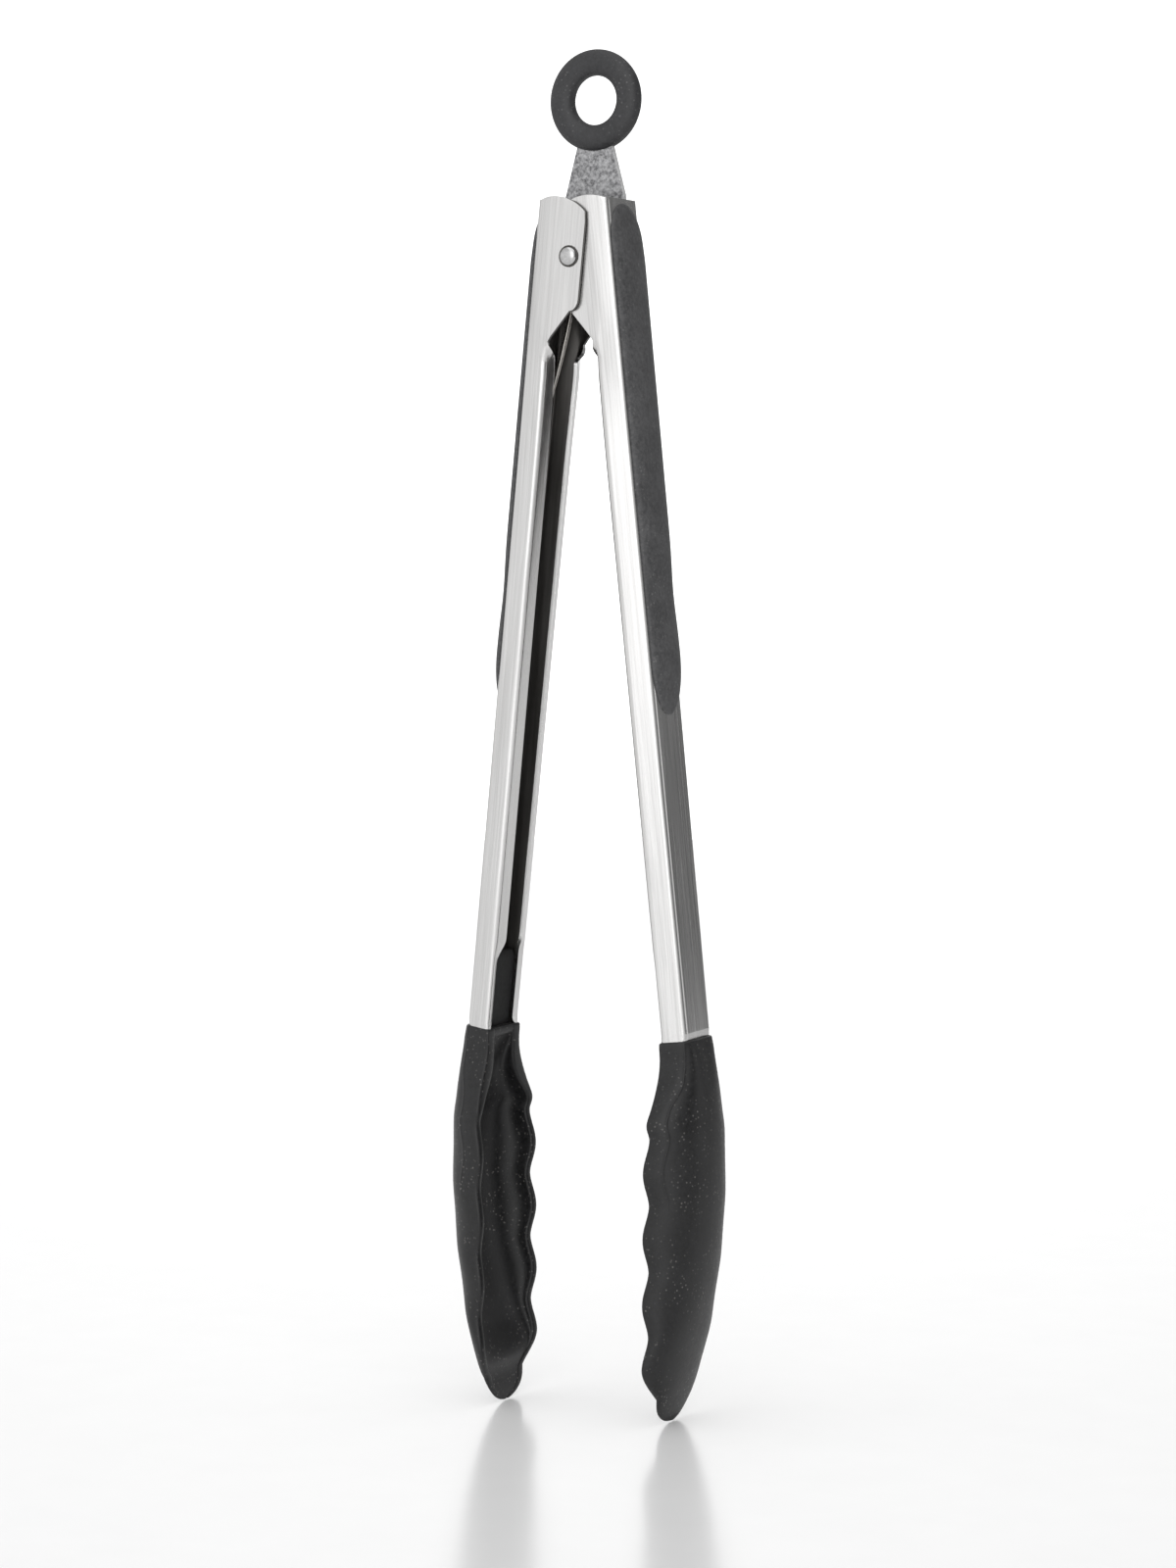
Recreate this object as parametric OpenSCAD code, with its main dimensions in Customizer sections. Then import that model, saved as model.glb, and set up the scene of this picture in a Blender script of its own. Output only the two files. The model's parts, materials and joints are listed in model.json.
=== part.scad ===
// Spring loaded kitchen tongs: two sprung steel arms on one rivet, silicone scoop heads,
// soft grip pads, and a sliding lock tab with a rubber hanging ring.
// +Z is up, the tips stand on z = 0, X is the way the jaws open, Y is the channel width.

/* [Overall] */
// Height of the pivot axis over the tips
pivot_z = 288.65; // [285:0.05:292]
// Angle of each arm from the vertical when the tongs stand open
open_deg = 6; // [5.5:0.1:6.5]
// Thickness of the arm sheet
sheet = 0.9; // [0.7:0.1:1]

/* [Arm] */
// Distance from the pivot axis to the outside of an arm's web
arm_x = 10.95; // [10.5:0.05:11.5]
// Top of the web above the pivot
arm_top = 13.2; // [12:0.1:14]
// Bottom end of the steel below the pivot
arm_bottom = -194.1; // [-196:0.1:-192]
// Half width of the web at the hinge
web_top = 7.9; // [7.7:0.1:8.1]
// Half width of the web at the bottom end
web_bottom = 6.75; // [6.5:0.05:7]
// Half width across the mouth of the channel below the hinge
mouth_top = 9.6; // [9.2:0.1:9.8]
// Half width across the mouth of the channel at the bottom end
mouth_bottom = 8.1; // [7.9:0.1:8.4]
// Depth of the channel
channel_d = 6.6; // [6:0.1:7]
// Length of the lip that turns in from the mouth
lip = 4.2; // [3.5:0.1:4.5]
// Turn of the lip away from the cross line, in degrees
lip_tilt = 15; // [10:1:20]
// Outside radius of the sheet bends
bend_r = 1.5; // [1.2:0.1:1.8]
// Half width over the outer pair of ears, on the left arm
ear_outer = 10; // [9.9:0.1:10.2]
// Half width over the inner pair of ears, on the right arm
ear_inner = 8.8; // [8.5:0.1:8.8]
// How far an ear reaches past the pivot
ear_reach = 3.6; // [3.4:0.1:4]

/* [Pivot] */
// Radius of the rivet shank
rivet_r = 2; // [1.9:0.05:2.1]
// Radius of the domed rivet heads
rivet_head_r = 2.65; // [2.5:0.05:2.9]
// Height of the domed rivet heads
rivet_head_h = 1.2; // [1:0.1:1.4]
// Radial clearance of the pieces that turn on the rivet
turn_gap = 0.05; // [0.03:0.01:0.08]
// Outside radius of the spacer sleeve
sleeve_r = 3; // [2.8:0.1:3.1]
// Radius of the spring wire
wire_r = 0.65; // [0.6:0.05:0.7]
// Turns in the spring coil
coil_turns = 4; // [3:1:4]

/* [Lock tab and ring] */
// Middle of the tab plate, in Y
tab_y = 4.1; // [4:0.1:4.2]
// Thickness of the tab plate
tab_t = 1.5; // [1.2:0.1:1.6]
// Half width of the tab where it fills the gap between the arms
tab_w = 8.2; // [8:0.1:8.3]
// Height of the ring's centre over the tips
ring_z = 327.7; // [327:0.1:328]
// Outside radius of the ring
ring_r = 12.5; // [12:0.1:12.8]
// Radius of the hanging hole
hole_r = 6; // [5.8:0.1:6.2]
// Thickness of the ring
ring_t = 4.6; // [4:0.1:5]
// Travel of the lock tab
tab_travel = 8; // [7:0.5:8]

/* [Grip pad] */
// Top end of the pad above the pivot
pad_top = 12; // [11.5:0.1:12.4]
// Bottom end of the pad below the pivot
pad_bottom = -114; // [-116:0.5:-112]
// How far the pad stands proud of the web
pad_t = 2.4; // [2:0.1:2.6]

/* [Head] */
// Half width of a scoop head
head_w = 14.8; // [14:0.1:15.2]
// Radial depth of the scallops along the rim
scallop = 1.3; // [1:0.1:1.6]
// Length of one scallop
scallop_pitch = 16.3; // [16:0.1:16.5]
// Thickness of the scoop wall
wall = 3; // [2.8:0.1:3.2]
// Thickness of the silicone over the core
skin = 1; // [0.9:0.05:1.1]

/* [Hidden] */
steel = [0.78, 0.78, 0.79];
dull_steel = [0.6, 0.6, 0.62];
charcoal = [0.27, 0.27, 0.28];
silicone = [0.14, 0.14, 0.15];

// Heights along an arm, measured from the pivot
neck_z = arm_bottom;
tip_z = -289.5;
tip_x = -6.8;
lip_end_z = -27;
lip_full_z = -33;
crimp_start_z = -171;
crimp_full_z = -177.5;
plug_top_z = -175;
crimp_tilt = -17;
crimp_lip = 2.9;
crimp_deepen = 0.5;
lip_root = 1.7;
ear_low_z = -20;
ear_edge_z = -10;
rim_top_x = 3.8;
neck_w = 7.5;
flare_z = -198;
full_width_z = -216;
valley_z = -217.4;
lobe_z = valley_z - 4 * scallop_pitch;
lobe_w = 9.2;
scallop_side = 0.42;
rim_belly = 0.5;
rim_swing = 0.5;
body_end_z = -266;
nose_z = -274;
hollow_z = -203;
hollow_deep_z = -222;
hollow_end_z = -270;
core_end_z = -278;
mouth_open_z = -50;
mid_z = -110;

// Low swell above the top scallop: its length and fade, and how full the crests are
swell_length = 5.5;
swell_fade = 4.5;
crest_fullness = 1.7;

// Back of a scoop: step out from the web, two bulge points and the belly between them
back_step = 0.9;
back_bulge = [15.5, 12];
back_belly = 0.03;

// Cross-section of a scoop: square at the neck, round below, wider towards the rim
square_z = -196;
round_z = -214;
neck_power = 0.35;
scoop_power = 0.9;
rim_reach = 1.5;
rim_wall_less = 0.6;
nose_fullness = 1.6;
body_fullness = 2.2;

// Round top of the ears, as a centre and a radius
ear_top = [5, 2];
ear_top_r = 12.3;

// Lengths over which the ends of a grip pad narrow and flatten, and its thumb hollow
pad_top_round = 9;
pad_bottom_round = 12;
pad_top_slope = 14;
pad_bottom_slope = 14;
thumb_z = -84;
thumb_length = 8;
thumb_depth = 0.3;

// Spring coil round the spacer sleeve, one open turn after another, ending beside the tab
loose = 0.06;
coil_r = sleeve_r + 0.25 + wire_r;
coil_pitch = 2 * wire_r + loose;
coil_from = tab_y - tab_t / 2 - wire_r - loose - coil_turns * coil_pitch;
leg_y = 2.2;
leg_foot_z = -44;

// Spacer sleeve, from the inner ear on one side to the tab on the other
end_gap = 0.1;
sleeve_from = -ear_inner + sheet + end_gap;
sleeve_to = tab_y - tab_t / 2 - end_gap;

// Lock tab: eye inside the ring, shoulder and blade heights from the ring's centre
eye_r = ring_r - 2.2;
eye_hole_r = hole_r + 1.6;
shoulder_z = -23.5;
blade_z = pivot_z - ring_z;
blade_end_w = 5;

function mix(a, b, k) = a + (b - a) * k;
function clamp01(k) = min(1, max(0, k));
function ease(k) = let (c = clamp01(k)) c * c * (3 - 2 * c);
function ramp(z, from, to) = ease((z - from) / (to - from));
function signed_pow(v, e) = sign(v) * pow(abs(v), e);
function bezier(a, b, c, d, k) =
    a * pow(1 - k, 3) + 3 * b * pow(1 - k, 2) * k + 3 * c * (1 - k) * k * k + d * pow(k, 3);

// Side faces of a stack of rings of n points, the rings numbered from `from`, or turned inside out
function ring_walls(n, rings, from = 0, inside = false) =
    [for (i = [0:rings - 2]) for (j = [0:n - 1])
        let (k = (j + 1) % n, a = from + i * n + j, b = from + i * n + k, c = a + n, d = b + n)
        each inside ? [[a, d, c], [a, b, d]] : [[a, c, d], [a, d, b]]];
function raised(outline, z) = [for (p = outline) [p[0], p[1], z]];

// End faces of a stack whose outline goes out along one side and comes back along the other
function cap(n, from = 0, top = false) =
    [for (j = [0:floor(n / 2) - 2]) let (a = from + j, b = a + 1, c = from + n - 2 - j, d = c + 1)
        each top ? [[a, c, b], [a, d, c]] : [[a, b, c], [a, c, d]]];

// One solid through a stack of closed outlines, from the lowest up, each at its own height
module loft(outlines, heights) {
    n = len(outlines[0]);
    rings = len(outlines);
    low_cap = cap(n);
    high_cap = cap(n, (rings - 1) * n, true);
    polyhedron([for (i = [0:rings - 1]) each raised(outlines[i], heights[i])],
        concat(ring_walls(n, rings), low_cap, high_cap), convexity = 6);
}

// A cup between an outer and an inner stack that end at the same top height
module cup(outer, outer_heights, inner, inner_heights) {
    n = len(outer[0]);
    rings = len(outer);
    inner_rings = len(inner);
    base = rings * n;
    rim_out = base - n;
    rim_in = base + (inner_rings - 1) * n;
    rim = [for (j = [0:n - 1]) let (k = (j + 1) % n)
        each [[rim_out + j, rim_in + j, rim_in + k], [rim_out + j, rim_in + k, rim_out + k]]];
    low_cap = cap(n);
    inner_cap = cap(n, base, true);
    polyhedron(concat([for (i = [0:rings - 1]) each raised(outer[i], outer_heights[i])],
            [for (i = [0:inner_rings - 1]) each raised(inner[i], inner_heights[i])]),
        concat(ring_walls(n, rings), ring_walls(n, inner_rings, base, true), rim, low_cap, inner_cap),
        convexity = 8);
}

// Arc of radius r that rounds corner p between its neighbours a and b
function unit(v) = v / norm(v);
function rounded(a, p, b, r) =
    let (u = unit(a - p), v = unit(b - p), half = acos(u * v) / 2,
         centre = p + unit(u + v) * r / sin(half), cut = r / tan(half))
    [for (k = [0:0.25:1]) centre + r * unit(mix(p + u * cut, p + v * cut, k) - centre)];

// An open line with its inner corners rounded
function rounded_line(line, r) = let (last = len(line) - 1)
    concat([line[0]], [for (i = [1:last - 1]) each rounded(line[i - 1], line[i], line[i + 1], r)],
        [line[last]]);

// The same line moved to its left by t
function left_of(a, b) = let (d = unit(b - a)) [-d[1], d[0]];
function moved_line(line, t) = let (last = len(line) - 1)
    [for (i = [0:last]) let (m = left_of(line[max(0, i - 1)], line[max(1, i)]),
        n = left_of(line[min(last - 1, i)], line[min(last, i + 1)]))
        line[i] + t * (m + n) / (1 + m * n)];

// Closed section of bent sheet whose outside follows a line
function sheet_section(line) =
    let (inside = rounded_line(moved_line(line, sheet), bend_r - sheet))
    concat(rounded_line(line, bend_r), [for (i = [len(inside) - 1:-1:0]) inside[i]]);

// Outside line of the channel: half web w, half mouth m, depth, lip length and tilt
function channel_line(w, m, d, l, tilt) =
    let (mouth_x = arm_x - d, tip = [mouth_x - l * sin(tilt), m - l * cos(tilt)])
    [[tip[0], -tip[1]], [mouth_x, -m], [arm_x, -w], [arm_x, w], [mouth_x, m], tip];

// Outside line of the hinge end, where the flanges run on as flat ears
function ear_line(e) = let (knee_x = arm_x - 5)
    [[-ear_reach - 1, -e], [knee_x, -e], [arm_x, -web_top], [arm_x, web_top],
     [knee_x, e], [-ear_reach - 1, e]];

// Side view of the hinge end: round top, straight front edge, chamfer down to the channel
module ear_outline() {
    mouth_x = arm_x - channel_d;
    intersection() {
        polygon([[arm_x + 1, arm_bottom - 1], [arm_x + 1, arm_top + 2], [-ear_reach, arm_top + 2],
            [-ear_reach, ear_edge_z], [-1.7, ear_edge_z - 3], [mouth_x, ear_low_z],
            [mouth_x, lip_end_z], [-5, lip_end_z - 2], [-5, arm_bottom - 1]]);
        union() {
            translate(ear_top) circle(r = ear_top_r, $fn = 72);
            translate([-10, arm_bottom - 1]) square([30, -arm_bottom + 3]);
        }
    }
}

// One arm in its own frame: channel with lips below, flat bored ears above
module arm(e) {
    across = 30;
    heights = [arm_bottom, crimp_full_z, crimp_start_z, mid_z, mouth_open_z, lip_full_z,
        lip_end_z];
    channel = [for (z = heights)
        let (k = z / arm_bottom, w = mix(web_top, web_bottom, k),
             m = mix(mix(mouth_top, mouth_bottom, k), e, ramp(z, mouth_open_z, lip_full_z)),
             crimp = ramp(z, crimp_start_z, crimp_full_z),
             l = z < lip_end_z ? mix(lip, crimp_lip, crimp) : lip_root)
        sheet_section(channel_line(w, m, channel_d + crimp_deepen * crimp, l,
            mix(lip_tilt, crimp_tilt, crimp)))];
    ear = sheet_section(ear_line(e));
    difference() {
        loft(concat(channel, [ear, ear]), concat(heights, [lip_end_z + 0.2, arm_top + 1.9]));
        rotate([90, 0, 0]) linear_extrude(across, center = true) difference() {
            translate([-20, arm_bottom - 0.5]) square([50, 240]);
            ear_outline();
        }
        rotate([90, 0, 0]) cylinder(r = rivet_r + turn_gap, h = across, center = true, $fn = 48);
    }
}

// Grip pad: a long crowned oval on the outside of the web, with a thumb hollow low down
pad_share = 0.97;
function pad_w(z) =
    let (up = (pad_top - z) / pad_top_round, down = (z - pad_bottom) / pad_bottom_round)
    mix(web_top, web_bottom, clamp01(z / arm_bottom)) * pad_share
        * sqrt(1 - pow(1 - clamp01(up), 2)) * sqrt(1 - pow(1 - clamp01(down), 2));
function pad_crown(z) =
    let (up = (pad_top - z) / pad_top_slope, down = (z - pad_bottom) / pad_bottom_slope)
    pad_t * sqrt(clamp01(up)) * sqrt(clamp01(down))
        * (1 - thumb_depth * exp(-pow((z - thumb_z) / thumb_length, 2)));
module grip_pad() {
    steps = 30;
    inset = 0.35;
    heights = [for (i = [0:steps])
        mix(pad_bottom + inset, pad_top - inset, 0.5 - 0.5 * cos(180 * i / steps))];
    sections = [for (z = heights) concat([[arm_x, -pad_w(z)]],
        [for (a = [-77:14:77]) [arm_x + pad_crown(z) * cos(a), pad_w(z) * sin(a)]],
        [[arm_x, pad_w(z)]])];
    loft(sections, heights);
}

// Scallops along the rim of a scoop, from -1 in a hollow to 1 on a crest
function wave(z) = let (above = z - valley_z)
    above > 0 ? -cos(180 * above / swell_length) * exp(-pow(above / swell_fade, 2))
    : z < lobe_z ? -ramp(z, tip_z, lobe_z)
    : 2 * pow(abs(sin(180 * above / scallop_pitch)), crest_fullness) - 1;

// Scoop head, as outlines that run down the neck and the scoop
function back_k(z) = let (k = (neck_z - z) / (neck_z - tip_z)) k + back_belly * sin(180 * k);
function back_x(z) = bezier(arm_x + back_step, back_bulge[0], back_bulge[1], tip_x, back_k(z));
function rim_x(z) = mix(rim_top_x, tip_x, (neck_z - z) / (neck_z - tip_z))
    - rim_belly * ramp(z, hollow_z, full_width_z) * ramp(z, tip_z, nose_z)
    - rim_swing * scallop * wave(z) * ramp(z, tip_z, lobe_z);
function plain_w(z) = mix(neck_w, head_w - scallop_side, ramp(z, flare_z, full_width_z));
function scoop_w(z) = plain_w(z) + scallop_side * wave(z);
function body_w(z) = z > body_end_z ? plain_w(z)
    : plain_w(z) * sqrt(1 - pow((body_end_z - z) / (body_end_z - tip_z), body_fullness));
function rim_w(z) = z > nose_z ? scoop_w(z)
    : z > lobe_z ? mix(scoop_w(nose_z), lobe_w,
                       pow((nose_z - z) / (nose_z - lobe_z), nose_fullness))
    : lobe_w * sqrt(max(0.002, 1 - pow((lobe_z - z) / (lobe_z - tip_z), 2)));
function hollow(z) = ramp(z, hollow_z, hollow_deep_z) * ramp(z, tip_z + 3, hollow_end_z);
function shell(z, grow) =
    let (w = rim_w(z) + grow, bw = body_w(z) + grow,
         x0 = rim_x(z) - grow, d = max(0.4, back_x(z) + grow - x0),
         p = mix(neck_power, scoop_power, ramp(z, square_z, round_z)),
         hw = max(0.3, w - wall - 2 * grow + rim_wall_less),
         hd = max(0.05, hollow(z) * (d - wall - 2 * grow)), arc = 8)
    concat([for (i = [-arc:arc]) let (t = signed_pow(max(0, cos(90 * i / arc)), p))
                [x0 + d * t, mix(bw, w, pow(1 - t, rim_reach)) * signed_pow(sin(90 * i / arc), p)]],
           [for (i = [arc - 1:-1:1 - arc]) [x0 + hd * cos(90 * i / arc), hw * sin(90 * i / arc)]]);
tip_rings = 7;
body_rings = 28;
head_heights = concat([for (i = [0:tip_rings]) tip_z + 0.15 + 8.4 * pow(i / tip_rings, 1.6)],
    [for (i = [0:body_rings]) mix(tip_z + 9.2, neck_z, i / body_rings)]);
core_heights = [for (z = head_heights) if (z >= core_end_z) z];
module core_solid() { loft([for (z = core_heights) shell(z, -skin)], core_heights); }

// Plug that fills the crimped end of the channel and carries the head
module plug() {
    chamfer = 0.6;
    seat = 0.45;
    side_gap = 0.1;
    web_in = arm_x - sheet;
    front = arm_x - channel_d + sheet + seat;
    half = web_bottom - sheet - side_gap;
    translate([0, 0, neck_z]) linear_extrude(plug_top_z - neck_z)
        polygon([[front, -half], [web_in - chamfer, -half], [web_in, chamfer - half],
                 [web_in, half - chamfer], [web_in - chamfer, half], [front, half]]);
}
module head_core() {
    plug();
    core_solid();
}
module head_sleeve() {
    cup([for (z = head_heights) shell(z, 0)], head_heights,
        [for (z = core_heights) shell(z, -skin)], core_heights);
}

// Spring coil about the pivot axis, starting at Y = 0
module coil() {
    per_turn = 20;
    sides = 8;
    rings = coil_turns * per_turn + 1;
    points = [for (i = [0:rings - 1]) let (a = 360 * i / per_turn)
        each [for (s = [0:sides - 1]) let (r = coil_r + wire_r * cos(360 * s / sides))
            [r * cos(a), coil_pitch * i / per_turn + wire_r * sin(360 * s / sides), r * sin(a)]]];
    ends = concat(cap(sides), cap(sides, (rings - 1) * sides, true));
    polyhedron(points, concat(ring_walls(sides, rings), ends), convexity = 8);
}

// Spring leg in the arm's frame: down past the rivet, then out to rest on the web
module spring_leg(y) {
    foot_x = arm_x - sheet - wire_r - turn_gap;
    path = [[foot_x, leg_foot_z], [foot_x, leg_foot_z + 4], [4.6, -13], [4, -6]];
    loft([for (p = path) [for (a = [0:30:330]) [p[0] + wire_r * cos(a), y + wire_r * sin(a)]]],
        [for (p = path) p[1]]);
}

// Place an arm-frame part at the open angle, on the right or on the left
module on_right() { translate([0, 0, pivot_z]) rotate([0, -open_deg, 0]) children(); }
module on_left() { mirror([1, 0, 0]) on_right() children(); }

module left_arm() color(steel) on_left() arm(ear_outer);
module right_arm() color(steel) on_right() arm(ear_inner);
module left_grip_pad() color(charcoal) on_left() grip_pad();
module right_grip_pad() color(charcoal) on_right() grip_pad();
module left_head_core() color(dull_steel) on_left() head_core();
module right_head_core() color(dull_steel) on_right() head_core();
module left_head_sleeve() color(silicone) on_left() head_sleeve();
module right_head_sleeve() color(silicone) on_right() head_sleeve();

module pivot_rivet() color(steel) translate([0, 0, pivot_z]) rotate([90, 0, 0]) {
    cylinder(r = rivet_r, h = 2 * ear_outer, center = true, $fn = 48);
    dome_r = (pow(rivet_head_r, 2) + pow(rivet_head_h, 2)) / (2 * rivet_head_h);
    for (end = [0, 180]) rotate([end, 0, 0]) translate([0, 0, ear_outer])
        intersection() {
            translate([0, 0, rivet_head_h - dome_r]) sphere(r = dome_r, $fn = 64);
            cylinder(r = rivet_head_r, h = rivet_head_h, $fn = 64);
        }
}

module spacer_sleeve() color(dull_steel) translate([0, sleeve_from, pivot_z]) rotate([-90, 0, 0])
    difference() {
        length = sleeve_to - sleeve_from;
        cylinder(r = sleeve_r, h = length, $fn = 48);
        translate([0, 0, -1]) cylinder(r = rivet_r + turn_gap, h = length + 2, $fn = 48);
    }

module spring_coil() color(dull_steel) translate([0, coil_from, pivot_z]) coil();
module spring_left_leg() color(dull_steel) on_left() spring_leg(leg_y);
module spring_right_leg() color(dull_steel) on_right() spring_leg(-leg_y);

// Lock tab: an eye inside the rubber ring, a flared neck, and a slotted blade on the rivet
module tab_outline() {
    slot_r = rivet_r + 0.1;
    slot_length = tab_travel + 0.2;
    difference() {
        polygon(concat([for (a = [-65:5:245]) eye_r * [cos(a), sin(a)]],
            [[-tab_w, shoulder_z], [-tab_w, blade_z - 10], [-blade_end_w, blade_z - 15],
             [blade_end_w, blade_z - 15], [tab_w, blade_z - 10], [tab_w, shoulder_z]]));
        circle(r = eye_hole_r, $fn = 72);
        translate([0, blade_z]) polygon(concat(
            [for (a = [0:7.5:180]) slot_r * [cos(a), sin(a)]],
            [for (a = [180:7.5:360]) slot_r * [cos(a), sin(a)] - [0, slot_length]]));
    }
}
module tab_plate() translate([0, tab_y, ring_z]) rotate([90, 0, 0])
    linear_extrude(tab_t, center = true) tab_outline();
module pull_tab() color(dull_steel) tab_plate();

// Rubber ring with a short straight land in its hole, moulded round the eye of the tab
module hanging_ring() color(charcoal) difference() {
    translate([0, tab_y, ring_z]) rotate([90, 0, 0]) rotate_extrude($fn = 96) {
        mid = (hole_r + ring_r) / 2;
        land = 1;
        inner_w = mid - hole_r;
        polygon(concat([[hole_r, -land], [hole_r, land]],
            [for (a = [165:-15:-165]) [mid + inner_w * cos(a), (ring_t / 2) * sin(a)]]));
    }
    tab_plate();
}

left_arm();
right_arm();
left_grip_pad();
right_grip_pad();
left_head_core();
right_head_core();
left_head_sleeve();
right_head_sleeve();
pivot_rivet();
spacer_sleeve();
spring_coil();
spring_left_leg();
spring_right_leg();
pull_tab();
hanging_ring();
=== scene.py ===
"""Spring loaded kitchen tongs: the visible pieces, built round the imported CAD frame.

Shapes are worked out in millimetres in each arm's own frame, whose origin is on the pivot axis
with z up the arm and x out towards the web, and are then placed from the frame's hinge.
"""

import json
import math

import bmesh
import bpy
import numpy as np
from mathutils import Matrix, Vector, geometry


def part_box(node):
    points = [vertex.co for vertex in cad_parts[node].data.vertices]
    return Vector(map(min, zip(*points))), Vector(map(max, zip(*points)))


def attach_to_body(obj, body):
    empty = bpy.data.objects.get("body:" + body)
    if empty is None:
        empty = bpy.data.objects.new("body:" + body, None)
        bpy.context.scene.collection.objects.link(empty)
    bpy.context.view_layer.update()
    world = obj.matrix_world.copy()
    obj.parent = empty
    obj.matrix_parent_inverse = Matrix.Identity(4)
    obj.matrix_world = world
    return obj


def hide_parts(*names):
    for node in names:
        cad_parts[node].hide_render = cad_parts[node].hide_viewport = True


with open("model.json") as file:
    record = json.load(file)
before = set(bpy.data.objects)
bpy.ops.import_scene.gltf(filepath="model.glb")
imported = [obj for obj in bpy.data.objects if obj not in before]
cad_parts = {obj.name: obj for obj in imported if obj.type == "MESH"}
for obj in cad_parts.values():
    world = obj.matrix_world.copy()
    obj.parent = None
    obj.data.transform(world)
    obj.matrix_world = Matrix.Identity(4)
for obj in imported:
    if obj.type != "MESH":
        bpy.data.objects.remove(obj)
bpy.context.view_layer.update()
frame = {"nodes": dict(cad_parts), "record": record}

MM = 0.001
JOINTS = {joint["name"]: joint for joint in frame["record"]["behaviour"]["joints"]}
PIVOT = Vector(JOINTS["right_arm_swing"]["pos_m"])
HOLE = frame["record"]["mounts"][0]
# Lean of each arm from the vertical
OPEN = math.radians(6)
SIDES = {"left": -1, "right": 1}

# Sheet metal of the arms, in millimetres
SHEET = 0.9
ARM_X = 10.95
ARM_TOP = 13.2
ARM_BOTTOM = -194.1
WEB_TOP, WEB_BOTTOM = 7.9, 6.75
MOUTH_TOP, MOUTH_BOTTOM = 9.6, 8.1
CHANNEL_D = 6.6
LIP = 4.2
LIP_TILT = 15
BEND_R = 1.5

# The lips are folded in below CRIMP_Z, to hold the plug
CRIMP_Z, CRIMP_FULL_Z = -171, -177.5
CRIMP_TILT = -17
CRIMP_LIP = 2.9
CRIMP_DEEPEN = 0.5
CRIMP_R = 0.95

# Hinge ears: how far they reach past the pivot, their half widths, and the round of their tops
EAR_REACH = 3.6
EARS = {"left": 10.0, "right": 8.8}
CROWN_X, CROWN_Z, CROWN_R = 5.0, 2.0, 12.3

# Head, in millimetres: half widths end in W
TIP_X, TIP_Z = -6.8, -289.5
NECK_W = 7.5
HEAD_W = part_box("left_head_sleeve")[1].y / MM - 0.03
FLARE_Z, FULL_WIDTH_Z = -198, -216
BODY_END_Z, BODY_FULLNESS = -266, 2.2
WALL = 3.0
RIM_WALL_LESS = 0.6
SKIN = 1.0

# Scallops of the rim, with a low swell above the first hollow and a lobe at the tip
SCALLOP_X, SCALLOP_W = 0.65, 0.42
SCALLOP_PITCH = 16.3
CREST_FULLNESS = 1.7
SWELL_LENGTH, SWELL_FADE = 5.5, 4.5
VALLEY_Z = -217.4
LOBE_Z = VALLEY_Z - 4 * SCALLOP_PITCH
LOBE_W = 9.2
NOSE_Z, NOSE_FULLNESS = -274, 1.6

# Side view of a head: its back bulges out from the web, and its rim runs down with a slight belly
BACK_STEP = 0.9
BACK_BULGE = (15.5, 12)
BACK_BELLY = 0.03
RIM_TOP_X = 3.8
RIM_BELLY = 0.5
BELLY_Z, BELLY_FULL_Z, BELLY_END_Z = -203, -218, -276

# Cross-section of a head: nearly square at the neck and round further down
SQUARE_Z, ROUND_Z = -196, -214
NECK_POWER, SCOOP_POWER = 0.35, 0.9
RIM_REACH = 1.5


# ---------------------------------------------------------------- small maths

def mix(a, b, k):
    return a + (b - a) * k


def clamp01(k):
    return min(1.0, max(0.0, k))


def ramp(z, start, end):
    k = clamp01((z - start) / (end - start))
    return k * k * (3 - 2 * k)


def signed_pow(v, e):
    return math.copysign(abs(v) ** e, v)


def bezier(a, b, c, d, k):
    return a * (1 - k) ** 3 + 3 * b * k * (1 - k) ** 2 + 3 * c * (1 - k) * k * k + d * k ** 3


# ---------------------------------------------------------------- mesh helpers

def arm_matrix(side):
    """Where an arm's own frame sits in the row frame."""
    return Matrix.Translation(PIVOT) @ Matrix.Rotation(-OPEN * SIDES[side], 4, "Y")


def make_piece(name, points, faces, material, matrix=None, mirror=False):
    """A mesh object from points in millimetres, its place in its vertices like a CAD node's.

    A mirrored piece keeps its faces outward.
    """
    sign = -1 if mirror else 1
    mesh = bpy.data.meshes.new(name)
    mesh.from_pydata([(sign * x * MM, y * MM, z * MM) for x, y, z in points], [], faces)
    mesh.update()
    work = bmesh.new()
    work.from_mesh(mesh)
    bmesh.ops.remove_doubles(work, verts=work.verts, dist=1e-6)
    bmesh.ops.delete(work, geom=[v for v in work.verts if not v.link_faces], context="VERTS")
    bmesh.ops.recalc_face_normals(work, faces=work.faces)
    work.to_mesh(mesh)
    work.free()
    mesh.transform(matrix or Matrix.Identity(4))
    mesh.polygons.foreach_set("use_smooth", [True] * len(mesh.polygons))
    piece = bpy.data.objects.new(name, mesh)
    bpy.context.scene.collection.objects.link(piece)
    mesh.materials.append(material)
    return piece


def bevel(piece, width, segments=2, angle=35):
    mod = piece.modifiers.new("edges", "BEVEL")
    mod.width = width * MM
    mod.segments = segments
    mod.limit_method = "ANGLE"
    mod.angle_limit = math.radians(angle)
    mod.use_clamp_overlap = True
    normals = piece.modifiers.new("normals", "WEIGHTED_NORMAL")
    normals.keep_sharp = True


def ring_faces(count, rings, start=0, closed=True):
    """Quads between rings of count points that follow one another."""
    faces = []
    span = count if closed else count - 1
    for i in range(rings - 1):
        for j in range(span):
            a = start + i * count + j
            b = start + i * count + (j + 1) % count
            faces.append((a, b, b + count, a + count))
    return faces


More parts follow.
